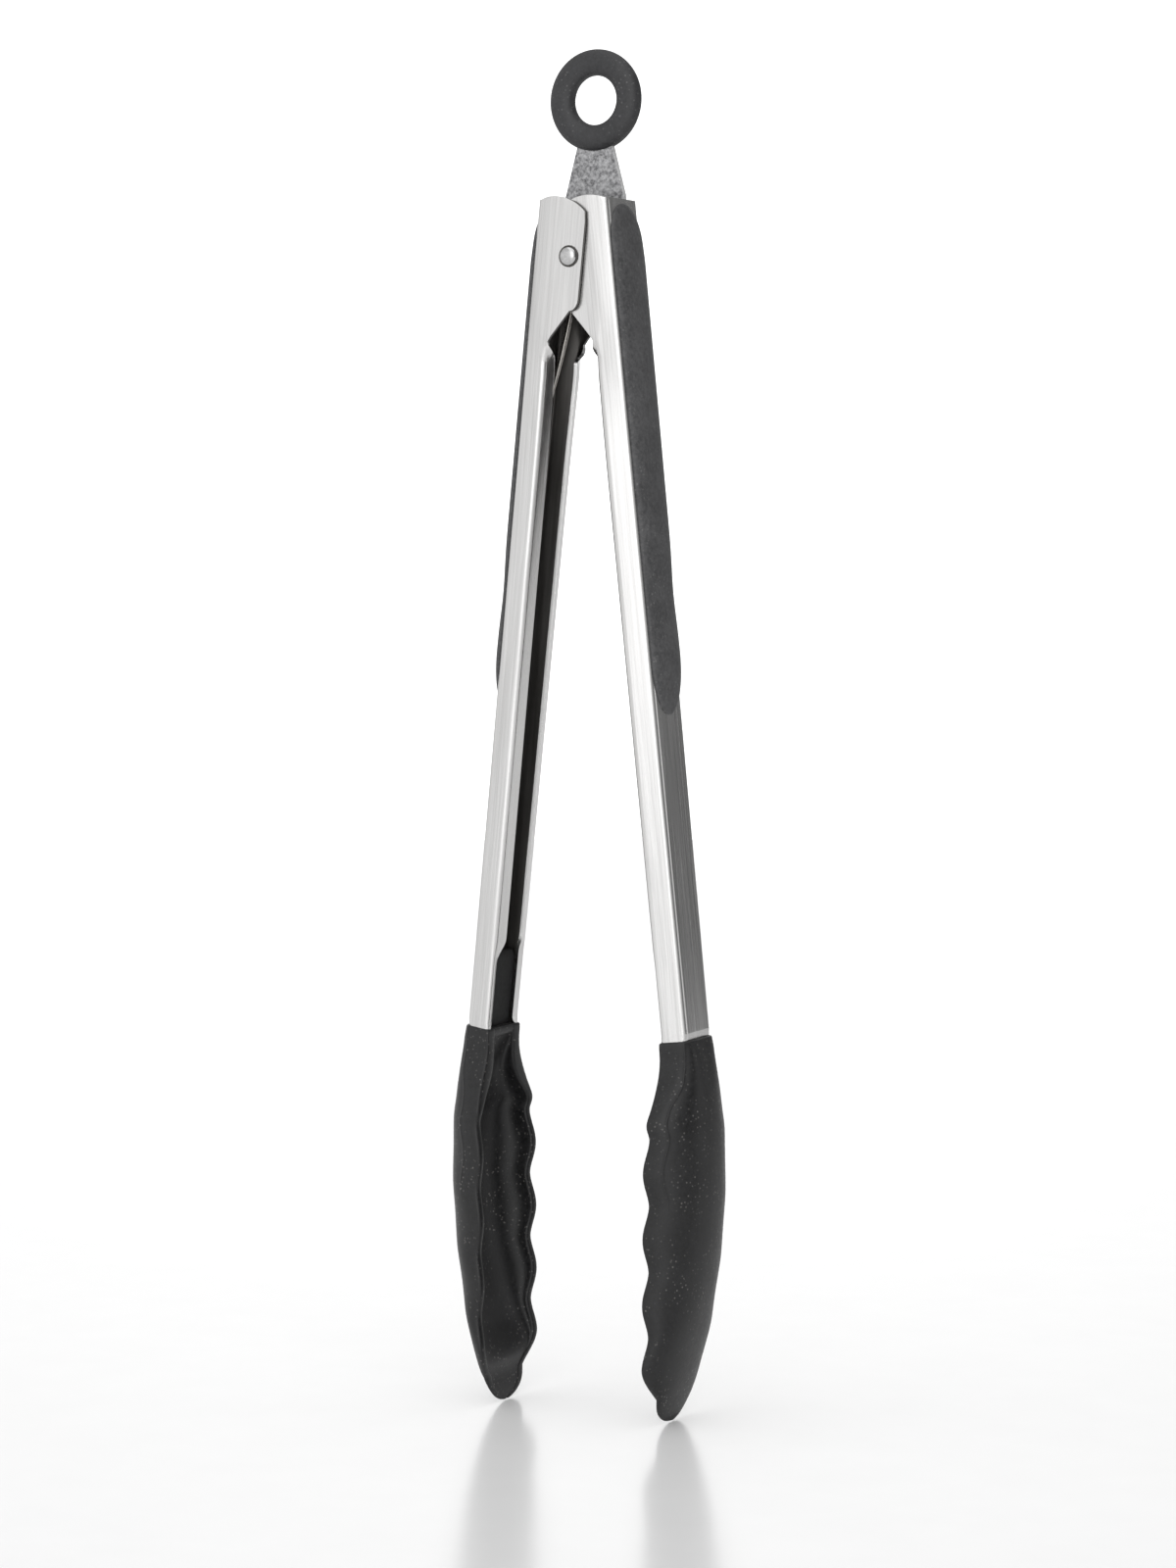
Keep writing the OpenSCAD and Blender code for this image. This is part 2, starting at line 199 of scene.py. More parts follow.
def attach(piece, body, slot, *nodes):
    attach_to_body(piece, body)
    if nodes:
        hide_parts(*nodes)
    return piece


# ---------------------------------------------------------------- materials

class Nodes:
    """A short way to wire one material's nodes."""

    def __init__(self, name):
        self.material = bpy.data.materials.new(name)
        self.material.use_nodes = True
        self.tree = self.material.node_tree
        self.shader = self.tree.nodes["Principled BSDF"]

    def add(self, kind, **values):
        node = self.tree.nodes.new(kind)
        for key, value in values.items():
            if key in node.inputs:
                node.inputs[key].default_value = value
            else:
                setattr(node, key, value)
        return node

    def link(self, output, target):
        self.tree.links.new(output, target)

    def set(self, **values):
        for key, value in values.items():
            self.shader.inputs[key.replace("_", " ")].default_value = value

    def place(self, scale, lean=0.0):
        """Object coordinates turned upright from a lean, then stretched by scale."""
        coords = self.add("ShaderNodeTexCoord")
        upright = self.add("ShaderNodeMapping", Rotation=(0, lean, 0))
        mapping = self.add("ShaderNodeMapping", Scale=scale)
        self.link(coords.outputs["Object"], upright.inputs["Vector"])
        self.link(upright.outputs["Vector"], mapping.inputs["Vector"])
        return mapping.outputs["Vector"]

    def noise(self, vector, scale, detail=4, roughness=0.6):
        node = self.add("ShaderNodeTexNoise", Scale=scale, Detail=detail, Roughness=roughness)
        self.link(vector, node.inputs["Vector"])
        return node.outputs["Fac"]

    def spread(self, value, low, high, start=0.3, end=0.7):
        """A value stretched from start..end to low..high."""
        node = self.add("ShaderNodeMapRange")
        node.inputs["From Min"].default_value = start
        node.inputs["From Max"].default_value = end
        node.inputs["To Min"].default_value = low
        node.inputs["To Max"].default_value = high
        self.link(value, node.inputs["Value"])
        return node.outputs["Result"]

    def colours(self, value, stops):
        """A colour ramp through (position, (r, g, b)) stops."""
        node = self.add("ShaderNodeValToRGB")
        ramp_stops = node.color_ramp.elements
        while len(ramp_stops) < len(stops):
            ramp_stops.new(0.5)
        for stop, (position, colour) in zip(ramp_stops, stops):
            stop.position = position
            stop.color = (*colour, 1)
        self.link(value, node.inputs["Fac"])
        return node.outputs["Color"]

    def bump(self, height, strength, distance, below=None):
        node = self.add("ShaderNodeBump", Strength=strength, Distance=distance)
        self.link(height, node.inputs["Height"])
        if below is not None:
            self.link(below, node.inputs["Normal"])
        return node.outputs["Normal"]

    def finish(self, colour=None, roughness=None, normal=None):
        if colour is not None:
            self.link(colour, self.shader.inputs["Base Color"])
        if roughness is not None:
            self.link(roughness, self.shader.inputs["Roughness"])
        if normal is not None:
            self.link(normal, self.shader.inputs["Normal"])
        return self.material


def brushed_steel(side):
    """Stainless sheet, brushed along the arm on one side."""
    n = Nodes(f"brushed_{side}_arm_steel")
    lean = OPEN * SIDES[side]
    n.set(Metallic=1, Anisotropic=0.5, Anisotropic_Rotation=0.25)
    along = n.add("ShaderNodeCombineXYZ", X=math.sin(-lean), Y=0, Z=math.cos(lean))
    n.link(along.outputs["Vector"], n.shader.inputs["Tangent"])
    fine = n.noise(n.place((1, 1, 0.012), lean), 2600, detail=3)
    streak = n.noise(n.place((1, 1, 0.016), lean), 1700, detail=4)
    broad = n.noise(n.place((1, 1, 0.05), lean), 200, detail=2)
    blend = n.add("ShaderNodeMath", operation="MULTIPLY_ADD")
    n.link(streak, blend.inputs[0])
    blend.inputs[1].default_value = 0.55
    n.link(n.spread(broad, 0.19, 0.27), blend.inputs[2])
    stops = [(0.38, (0.64, 0.635, 0.63)), (0.62, (0.82, 0.815, 0.81))]
    colour = n.colours(blend.outputs["Value"], stops)
    rough = n.spread(streak, 0.19, 0.28)
    normal = n.bump(fine, 0.12, 0.00004)
    return n.finish(colour, rough, normal)


def painted_shade_steel(side):
    """Dark steel for the inside of one arm's sheet, its darkness painted shade for the shaded channel;
    it also paints shade on the ears' cut edges and round the rivet heads.
    """
    n = Nodes(f"mill_{side}_inner_painted_shade")
    n.set(Metallic=1)
    streak = n.noise(n.place((1, 1, 0.04), OPEN * SIDES[side]), 900, detail=3)
    colour = n.colours(streak, [(0.3, (0.10, 0.095, 0.09)), (0.7, (0.15, 0.145, 0.14))])
    return n.finish(colour, n.spread(streak, 0.36, 0.48), n.bump(streak, 0.1, 0.00004))


def tumbled_steel():
    """Plate with a mottled, tumbled surface."""
    n = Nodes("tumbled_tab_steel")
    n.set(Metallic=1)
    place = n.place((1, 1, 1))
    mottle = n.noise(place, 1100, detail=5, roughness=0.7)
    cloud = n.noise(place, 220, detail=3)
    colour = n.colours(mottle, [(0.36, (0.15, 0.15, 0.155)), (0.64, (0.55, 0.55, 0.56))])
    normal = n.bump(cloud, 0.25, 0.00015, n.bump(mottle, 0.5, 0.00006))
    return n.finish(colour, n.spread(mottle, 0.38, 0.55), normal)


def sheared_edge_highlight_steel():
    """Cut edge of a plate, painted pale: partly the bare cut metal, partly a painted highlight along
    the edge.
    """
    n = Nodes("sheared_edge_painted_highlight")
    n.set(Metallic=0.55)
    grain = n.noise(n.place((1, 1, 0.3)), 1800, detail=3)
    colour = n.colours(grain, [(0.3, (0.74, 0.74, 0.74)), (0.7, (0.9, 0.9, 0.9))])
    return n.finish(colour, n.spread(grain, 0.5, 0.65), n.bump(grain, 0.15, 0.00003))


def polished_steel():
    n = Nodes("polished_rivet_steel")
    n.set(Metallic=1)
    wear = n.noise(n.place((1, 1, 1)), 1500, detail=4)
    colour = n.colours(wear, [(0.3, (0.5, 0.5, 0.5)), (0.7, (0.66, 0.66, 0.66))])
    return n.finish(colour, n.spread(wear, 0.12, 0.24), n.bump(wear, 0.08, 0.00003))


def spring_wire():
    n = Nodes("spring_wire")
    n.set(Metallic=1)
    grain = n.noise(n.place((1, 1, 0.1)), 2200, detail=3)
    colour = n.colours(grain, [(0.3, (0.42, 0.40, 0.37)), (0.7, (0.66, 0.63, 0.6))])
    return n.finish(colour, n.spread(grain, 0.22, 0.36), n.bump(grain, 0.15, 0.00003))


def dusty_rubber(name, dark, light, dust, roughness, speckle, specular=0.5):
    """Soft black or charcoal rubber with fine pale dust in its grain."""
    n = Nodes(name)
    n.set(Specular_IOR_Level=specular)
    place = n.place((1, 1, 1))
    cloud = n.noise(place, 130, detail=4)
    grain = n.noise(place, 1000, detail=4, roughness=0.75)
    specks = n.add("ShaderNodeTexVoronoi", Scale=900)
    n.link(place, specks.inputs["Vector"])
    tone = n.add("ShaderNodeMath", operation="MULTIPLY_ADD")
    n.link(n.spread(grain, 0, 1, 0.36, 0.64), tone.inputs[0])
    tone.inputs[1].default_value = 0.6
    n.link(n.spread(cloud, 0, 0.4), tone.inputs[2])
    base = n.colours(tone.outputs["Value"], [(0.15, dark), (0.85, light)])
    near = n.spread(specks.outputs["Distance"], 1, 0, 0.08, 0.27)
    patch = n.spread(n.noise(place, 90, detail=4), 0, speckle, 0.40, 0.66)
    amount = n.add("ShaderNodeMath", operation="MULTIPLY")
    n.link(near, amount.inputs[0])
    n.link(patch, amount.inputs[1])
    colour = n.add("ShaderNodeMix", data_type="RGBA")
    n.link(amount.outputs["Value"], colour.inputs["Factor"])
    n.link(base, colour.inputs[6])
    colour.inputs[7].default_value = (*dust, 1)
    normal = n.bump(cloud, 0.12, 0.0003, n.bump(grain, 0.35, 0.00005))
    return n.finish(colour.outputs[2], n.spread(grain, roughness - 0.07, roughness + 0.09), normal)


STEEL = {side: brushed_steel(side) for side in SIDES}
# The dark inner steel paints shade: inside the channels, on the ears' cut edges and round the rivet
# heads.
SHADE_STEEL = {side: painted_shade_steel(side) for side in SIDES}
CUT_EDGE_HIGHLIGHT = sheared_edge_highlight_steel()
TAB_STEEL = tumbled_steel()
RIVET_STEEL = polished_steel()
WIRE = spring_wire()
SILICONE = dusty_rubber("black_silicone", (0.004, 0.004, 0.0045), (0.014, 0.014, 0.015),
                        (0.22, 0.21, 0.20), 0.42, speckle=0.9)
NYLON = dusty_rubber("black_nylon", (0.006, 0.006, 0.006), (0.010, 0.010, 0.010),
                     (0.05, 0.05, 0.05), 0.55, speckle=0.2, specular=0.25)
GRIP = dusty_rubber("charcoal_grip", (0.050, 0.050, 0.052), (0.105, 0.105, 0.108),
                    (0.24, 0.24, 0.24), 0.6, speckle=0.6)
RING = dusty_rubber("charcoal_ring", (0.024, 0.024, 0.026), (0.042, 0.042, 0.045),
                    (0.2, 0.2, 0.2), 0.5, speckle=0.6)


# ---------------------------------------------------------------- arms

# Heights, from the pivot, where the ear is flat, the lip starts and the mouth draws in to the ear
FLAT_EAR_Z = -20.5
LIP_ROOT_Z = -26.0
DRAW_IN_Z = -55
# Depth and radius of the bend beside a flat ear, and the heights over which they are reached
KNEE, KNEE_R = 5.0, 10.0
KNEE_DEPTH_Z, KNEE_ROUND_Z = (-30, -12), (-24, -14)
# Chamfer from the lip's root up to the front edge of the ear
CHAMFER_FOOT_X, CHAMFER_TOP_X, CHAMFER_TOP_Z = 3.6, -1.5, -13.2
HOLE_R = 2.05
# Sheet below the split is a grid, and above it a filled outline
SPLIT_Z = -34.0
STATIONS = [0, 1, 2, 3, 4, 12]
BEND_STEPS = np.linspace(0, 1, 9)[:-1]
FLAT_STEPS = np.linspace(0, 1, 4)[:-1]
# Length of sheet that a fold is worked out for, from the middle of the web, and its step
FOLD_LENGTH, FOLD_STEP = 33, 0.1
# The steel's low end is rolled in a little over this length
END_ROLL, END_ROLL_LENGTH = 0.2, 1.8


def web_half(z):
    return mix(WEB_TOP, WEB_BOTTOM, clamp01(z / ARM_BOTTOM))


def mouth_half(z, ear_half):
    channel = mix(MOUTH_TOP, MOUTH_BOTTOM, clamp01(z / ARM_BOTTOM))
    return mix(channel, ear_half, ramp(z, DRAW_IN_Z, FLAT_EAR_Z))


class Fold:
    """The outside of half a section at height z, from the middle of the web to the free edge.

    A place on it is given by a station: whole stations are the ends of the web, the first bend,
    the flange and the second bend, so a bend keeps the same stations all the way up the arm.
    """

    def __init__(self, z, ear_half):
        ear = ramp(z, LIP_ROOT_Z, FLAT_EAR_Z)
        crimp = ramp(z, CRIMP_Z, CRIMP_FULL_Z)
        web, mouth = web_half(z), mouth_half(z, ear_half)
        depth = mix(CHANNEL_D + CRIMP_DEEPEN * crimp, KNEE, ramp(z, *KNEE_DEPTH_Z))
        splay = math.atan2(mouth - web, depth)
        tilt = math.radians(mix(LIP_TILT, CRIMP_TILT, crimp))
        last = mix(tilt - math.pi / 2, 0.0, ear)
        first_bend, second_bend = math.pi / 2 - splay, splay - last
        knee_r = mix(mix(BEND_R, CRIMP_R, crimp), KNEE_R, ramp(z, *KNEE_ROUND_Z))
        first_cut = BEND_R * math.tan(first_bend / 2)
        second_cut = knee_r * math.tan(second_bend / 2)
        flange = math.hypot(depth, mouth - web) - first_cut - second_cut
        past_lip = 30.0
        lengths = [web - first_cut, BEND_R * first_bend, flange, knee_r * second_bend, past_lip]
        self.stops = [0.0]
        for length in lengths:
            self.stops.append(self.stops[-1] + length)
        self.angles = [math.pi / 2, math.pi / 2, splay, splay, last, last]
        self.lip_end = self.stops[4] + mix(LIP, CRIMP_LIP, crimp) - second_cut
        rolled_in = END_ROLL * clamp01(1 - (z - ARM_BOTTOM) / END_ROLL_LENGTH)
        self.places = np.linspace(0, FOLD_LENGTH, round(FOLD_LENGTH / FOLD_STEP) + 1)
        turn = np.interp(self.places, self.stops, self.angles)
        middle = (turn[1:] + turn[:-1]) / 2
        self.x = np.concatenate([[0], -FOLD_STEP * np.cumsum(np.cos(middle))]) + ARM_X - rolled_in
        self.y = np.concatenate([[0], FOLD_STEP * np.cumsum(np.sin(middle))])

    def station(self, run):
        return float(np.interp(run, self.stops, STATIONS))

    def station_at_x(self, x):
        return self.station(float(np.interp(-x, -self.x, self.places)))

    def at(self, station):
        """Outside point (x, y) and the direction into the sheet, on either side of the middle."""
        run = float(np.interp(abs(station), STATIONS, self.stops))
        side = math.copysign(1, station)
        turn = float(np.interp(run, self.stops, self.angles))
        x = float(np.interp(run, self.places, self.x))
        y = side * float(np.interp(run, self.places, self.y))
        return (x, y), (-math.sin(turn), -side * math.cos(turn))


def top_edge(x):
    """Height of the round top of an ear."""
    return CROWN_Z + math.sqrt(CROWN_R ** 2 - min(8.5, abs(x - CROWN_X)) ** 2)


def channel_columns(fold, z):
    """Stations of the columns of half the channel at height z, from the middle to the lip's edge."""
    columns = [k + step for k in range(4) for step in (BEND_STEPS if k % 2 else FLAT_STEPS)]
    end = fold(z).station(fold(z).lip_end)
    return columns + [mix(4, end, k) for k in (0, 0.3, 0.55, 0.72, 0.84, 0.92, 0.97, 1)]


def channel_grid(fold):
    """Points and quads of the flat channel below the split, its bottom corners rounded."""
    corner = 1.3
    corner_height = 8
    end_rows = ARM_BOTTOM + np.array([0, 0.6, 1.2, 1.75, 1.85, 2.6, 4, 6, 8, 11])
    crimp_rows = np.arange(-180, -168, 0.8)
    rows = np.concatenate([end_rows, crimp_rows, np.linspace(-166, SPLIT_Z, 46)])
    points = []
    for z in rows:
        half = channel_columns(fold, z)
        low = clamp01(1 - (z - ARM_BOTTOM) / corner_height)
        reach = fold(z).lip_end
        line = []
        for station in half:
            run = float(np.interp(station, STATIONS, fold(z).stops))
            inset = clamp01(1 - (reach - run) / corner)
            line.append((station, z + low * corner * (1 - math.sqrt(1 - inset * inset))))
        points += [(-station, height) for station, height in line[:0:-1]] + line
    count = len(points) // len(rows)
    return points, ring_faces(count, len(rows), closed=False), points[-count:]


def ear_outline(fold, seam):
    """Edge of the flat sheet above the split as (station, z): round both ears, then the seam."""
    low = seam[-1][0]
    root = fold(FLAT_EAR_Z).station_at_x(3.9)
    line = [(mix(low, root, ramp(z, LIP_ROOT_Z, -21.2)), z) for z in np.linspace(-33, -21.2, 15)]
    chamfer_width = CHAMFER_FOOT_X - CHAMFER_TOP_X
    chamfer = [(x, mix(FLAT_EAR_Z, CHAMFER_TOP_Z, (CHAMFER_FOOT_X - x) / chamfer_width))
               for x in np.linspace(3.2, CHAMFER_TOP_X, 6)]
    round_w, round_h = EAR_REACH + CHAMFER_TOP_X, 3.0
    round_off = [(CHAMFER_TOP_X - round_w * math.sin(a), CHAMFER_TOP_Z + round_h * (1 - math.cos(a)))
                 for a in np.linspace(0.3, 1.5, 5)]
    edge = [(-EAR_REACH, z) for z in np.linspace(-9, 8.5, 8)]
    crown = [(x, top_edge(x)) for x in np.linspace(-3.3, 10.2, 24)]
    line += [(fold(z).station_at_x(x), z) for x, z in chamfer + round_off + edge + crown]
    corner = line[-1][0]
    top = [(s, ARM_TOP) for s in np.linspace(corner - 0.1, 0.1 - corner, 9)]
    return line + top + [(-s, z) for s, z in reversed(line)] + seam


def fill_flat(outline, holes, inner, stretch):
    """Triangles of a flat outline with holes, through the inner points that are clear of its edges.

    x is stretched while they are made, so that a station counts like a few millimetres.
    """
    clear = 0.6
    points = [Vector((x * stretch, y)) for x, y in outline]
    edges = [(i, (i + 1) % len(outline)) for i in range(len(outline))]
    for loop in holes:
        first = len(points)
        points += [Vector((x * stretch, y)) for x, y in loop]
        edges += [(first + i, first + (i + 1) % len(loop)) for i in range(len(loop))]
    border = np.array([tuple(p) for p in points])
    for x, y in inner:
        if np.hypot(border[:, 0] - x * stretch, border[:, 1] - y).min() > clear:
            points.append(Vector((x * stretch, y)))
    flat, _, faces, _, _, _ = geometry.delaunay_2d_cdt(points, edges, [], 0, 1e-5)
    flat = [(p.x / stretch, p.y) for p in flat]
    return flat, [tuple(f) for f in faces if inside_sheet(f, flat, outline, holes)]


def arm_sheet(side):
    """One arm: its flat pattern filled with points, folded up, and given its thickness."""
    folds = {}

    def fold(z):
        key = round(z, 3)
        if key not in folds:
            folds[key] = Fold(z, EARS[side])
        return folds[key]

    grid, grid_faces, seam = channel_grid(fold)
    hole = [(fold(0).station_at_x(HOLE_R * math.cos(a)), HOLE_R * math.sin(a))
            for a in np.linspace(0, 2 * math.pi, 41)[:-1]]
    holes = [hole, [(-s, z) for s, z in reversed(hole)]]
    before_lip = 2 * (len(FLAT_STEPS) + len(BEND_STEPS)) + 1
    columns = channel_columns(fold, SPLIT_Z)[:before_lip] + list(np.arange(4, 8.5, 0.3))
    columns = sorted(columns + [-c for c in columns if c > 0])
    inner = [(s, z) for z in np.arange(SPLIT_Z + 1, ARM_TOP + 2, 1.1) for s in columns]
    ears, ear_faces = fill_flat(ear_outline(fold, seam), holes, inner, 8)
    start = len(grid)
    flat = grid + ears
    faces = grid_faces + [tuple(i + start for i in f) for f in ear_faces]

    outer, inside = [], []
    for station, z in flat:
        (x, y), (nx, ny) = fold(z).at(station)
        outer.append((x, y, z))
        inside.append((x + SHEET * nx, y + SHEET * ny, z))
    sheet_faces = two_sided(faces, len(flat), seam_of(flat))
    piece = make_piece(f"{side}_arm_sheet", outer + inside, sheet_faces,
                       STEEL[side], arm_matrix(side), side == "left")
    # The outside comes first, then the inside, painted dark as shade in the channel, then the cut
    # edges, which are painted dark on the ears as shade in the gap between the ears
    piece.data.materials.append(SHADE_STEEL[side])
    ear_height = PIVOT.z + FLAT_EAR_Z * MM
    for face in piece.data.polygons[len(faces):]:
        if face.index < 2 * len(faces) or face.center.z > ear_height:
            face.material_index = 1
    bevel(piece, 0.17, segments=2, angle=50)
    return attach(piece, f"{side}_arm", "arm_steel", f"{side}_arm")


def seam_of(flat):
    """Indices of the points on the split, where the two parts of the sheet are joined."""
    return {i for i, (_, z) in enumerate(flat) if abs(z - SPLIT_Z) < 1e-4}


def two_sided(faces, count, joined=frozenset()):
    """Faces of a sheet, the same on its back, and walls along its borders but for a joined seam."""
    solid = [tuple(f) for f in faces] + [tuple(i + count for i in reversed(f)) for f in faces]
    border = {}
    for f in faces:
        for i in range(len(f)):
            pair = (f[i], f[(i + 1) % len(f)])
            if frozenset(pair) in border:
                del border[frozenset(pair)]
            else:
                border[frozenset(pair)] = pair
    walls = [pair for pair in border.values() if not (pair[0] in joined and pair[1] in joined)]
    return solid + [(b, a, a + count, b + count) for a, b in walls]


def in_loop(x, y, loop):
    hit = False
    for (x1, y1), (x2, y2) in zip(loop, loop[1:] + loop[:1]):
        if (y1 > y) != (y2 > y) and x < (x2 - x1) * (y - y1) / (y2 - y1) + x1:
            hit = not hit
    return hit


def inside_sheet(face, flat, outline, holes):
    x = sum(flat[i][0] for i in face) / len(face)
    y = sum(flat[i][1] for i in face) / len(face)
    return in_loop(x, y, outline) and not any(in_loop(x, y, loop) for loop in holes)


# ---------------------------------------------------------------- grip pads

PAD_TOP, PAD_BOTTOM, PAD_T = 12.0, -114.0, 2.4
PAD_SHARE = 0.97
# Lengths over which a pad's ends narrow and flatten, and the hollow for the thumb
PAD_TOP_ROUND, PAD_BOTTOM_ROUND = 9, 12
PAD_SLOPE = 14
THUMB_Z, THUMB_LENGTH, THUMB_DEPTH = -84, 8, 0.3


def pad_half(z):
    up = clamp01((PAD_TOP - z) / PAD_TOP_ROUND)
    down = clamp01((z - PAD_BOTTOM) / PAD_BOTTOM_ROUND)
    return web_half(z) * PAD_SHARE * math.sqrt(1 - (1 - up) ** 2) * math.sqrt(1 - (1 - down) ** 2)


def pad_crown(z):
    up = clamp01((PAD_TOP - z) / PAD_SLOPE)
    down = clamp01((z - PAD_BOTTOM) / PAD_SLOPE)
    thumb = 1 - THUMB_DEPTH * math.exp(-((z - THUMB_Z) / THUMB_LENGTH) ** 2)
    return PAD_T * math.sqrt(up) * math.sqrt(down) * thumb


def grip_pad(side):
    """Long crowned oval pad on the outside of a web."""
    across, along = 28, 150
    inset, crown_power = 0.05, 0.75
    points = []
    for i in range(along + 1):
        z = mix(PAD_BOTTOM + inset, PAD_TOP - inset, 0.5 - 0.5 * math.cos(math.pi * i / along))
        half, crown = pad_half(z), pad_crown(z)
        for j in range(across + 1):
            a = math.pi * (j / across - 0.5)
            points.append((ARM_X + crown * abs(math.cos(a)) ** crown_power, half * math.sin(a), z))
        points.append((ARM_X - 0.02, 0, z))
    ring = across + 2
    faces = ring_faces(ring, along + 1)
    faces += [tuple(range(ring)), tuple(reversed(range(along * ring, (along + 1) * ring)))]
    piece = make_piece(f"{side}_grip", points, faces, GRIP, arm_matrix(side), side == "left")
    return attach(piece, f"{side}_arm", "grip_rubber", f"{side}_grip_pad")


# ---------------------------------------------------------------- heads

def wave(z):
    """Scallops along the rim, from -1 in a hollow to 1 on a crest."""
    above = z - VALLEY_Z
    if above > 0:
        return -math.cos(math.pi * above / SWELL_LENGTH) * math.exp(-(above / SWELL_FADE) ** 2)
    if z < LOBE_Z:
        return -ramp(z, TIP_Z, LOBE_Z)
    return 2 * abs(math.sin(math.pi * above / SCALLOP_PITCH)) ** CREST_FULLNESS - 1


def along_head(z):
    """How far down the head a height is, from 0 at the steel to 1 at the tip."""
    return (ARM_BOTTOM - z) / (ARM_BOTTOM - TIP_Z)


def back_x(z):
    k = along_head(z)
    return bezier(ARM_X + BACK_STEP, *BACK_BULGE, TIP_X, k + BACK_BELLY * math.sin(math.pi * k))


def rim_x(z):
    belly = RIM_BELLY * ramp(z, BELLY_Z, BELLY_FULL_Z) * ramp(z, TIP_Z, BELLY_END_Z)
    scallop = SCALLOP_X * wave(z) * ramp(z, TIP_Z, LOBE_Z)
    return mix(RIM_TOP_X, TIP_X, along_head(z)) - belly - scallop


def plain_half(z):
    """Half width of the scoop without its scallops."""
    return mix(NECK_W, HEAD_W - SCALLOP_W, ramp(z, FLARE_Z, FULL_WIDTH_Z))


def scoop_half(z):
    return plain_half(z) + SCALLOP_W * wave(z)


def body_half(z):
    """Half width well behind the rim, where the scallops have faded out."""
    k = clamp01((BODY_END_Z - z) / (BODY_END_Z - TIP_Z))
    return plain_half(z) * math.sqrt(1 - k ** BODY_FULLNESS)


def rim_half(z):
    """Half width at the rim: scalloped, then drawn in to the round lobe at the tip."""
    if z > NOSE_Z:
        return scoop_half(z)
    if z > LOBE_Z:
        down = (NOSE_Z - z) / (NOSE_Z - LOBE_Z)
        return mix(scoop_half(NOSE_Z), LOBE_W, down ** NOSE_FULLNESS)
    return LOBE_W * math.sqrt(max(0.002, 1 - ((LOBE_Z - z) / (LOBE_Z - TIP_Z)) ** 2))


def hollow(z):
    """Depth of the scoop's hollow as a share of its full depth."""
    below_steel, deepening, tip_wall, end_z = 1.8, 22, 3, -270
    opening = math.sqrt(clamp01((ARM_BOTTOM - below_steel - z) / deepening))
    return opening * ramp(z, TIP_Z + tip_wall, end_z)


def hollow_half(z):
    """Half width of the hollow: narrow under the steel, then up to the wall."""
    neck_w, neck_z = 4.8, -199
    return mix(neck_w, rim_half(z) - WALL + RIM_WALL_LESS, ramp(z, neck_z, FULL_WIDTH_Z))


def back_curve(z, front, depth, half, body, ridge_height):
    """Half the outside of the scoop's section, from the middle of its back to the rim.

    A fine moulded ridge runs down it from the corner of the neck and then along the rim.
    """
    power = mix(NECK_POWER, SCOOP_POWER, ramp(z, SQUARE_Z, ROUND_Z))
    neck_splay = 0.09 * (1 - ramp(z, -195, -210))
    fine = np.linspace(0, math.pi / 2, 240)
    deep = np.cos(fine).clip(0) ** power
    x = front + depth * deep
    y = mix(body, half, (1 - deep) ** RIM_REACH) * np.sin(fine) ** power
    y = y * (1 + neck_splay * (1 - deep))
    gaps = np.hypot(np.diff(x), np.diff(y))
    length = np.concatenate([[0], np.cumsum(gaps)])
    from_rim = mix(6.5, 4.6, ramp(z, -204, -211))
    ridge_width = 0.25
    ridge_x = front + min(from_rim, 0.8 * depth)
    ridge = float(np.interp(-ridge_x, -x, length))
    near = min(0.6, ridge / 3, (length[-1] - ridge) / 3)
    on_ridge = ridge + near * np.array([-0.5, -0.25, 0, 0.25, 0.5])
    places = np.concatenate([np.linspace(0, ridge - near, 17), on_ridge,
                             np.linspace(ridge + near, length[-1], 12)])
    px, py = np.interp(places, length, x), np.interp(places, length, y)
    slope_x, slope_y = np.gradient(px, places), np.gradient(py, places)
    lift = ridge_height * np.exp(-((places - ridge) / ridge_width) ** 2)
    return list(zip(px + lift * slope_y, py - lift * slope_x))


def shell_outline(z, grow, ridge=0.0, arc=24):
    """Closed outline of the scoop's wall at height z; grow moves it outward.

    Its rims are rounded, except on the core, which is well inside the wall.
    """
    half = rim_half(z) + grow
    deep = hollow(z)
    core = grow < -0.6
    bulge = 0.05 if core else 0.15 + 0.75 * deep
    front = rim_x(z) - grow + bulge
    depth = max(0.4, back_x(z) + grow - front)
    inner_half = min(max(0.3, hollow_half(z) - grow), half - 0.25)
    inner_depth = max(0.05, deep * (depth + bulge - WALL - 2 * grow) - bulge)
    side = back_curve(z, front, depth, half, body_half(z) + grow, ridge)
    outside = [(x, -y) for x, y in side[:0:-1]] + side
    edge = side[-1][1]
    middle, reach = (edge + inner_half) / 2, (edge - inner_half) / 2
    rim = [(front - bulge * math.sin(a), middle + reach * math.cos(a))
           for a in np.linspace(0, math.pi, 9)[1:-1]]
    power = mix(0.5, 0.85, ramp(z, -200, -240))
    inside = [(front + inner_depth * signed_pow(math.cos(a), power),
               inner_half * signed_pow(math.sin(a), power))
              for a in np.linspace(math.pi / 2, -math.pi / 2, 2 * arc + 1)]
    return outside + rim + inside + [(x, -y) for x, y in reversed(rim)]


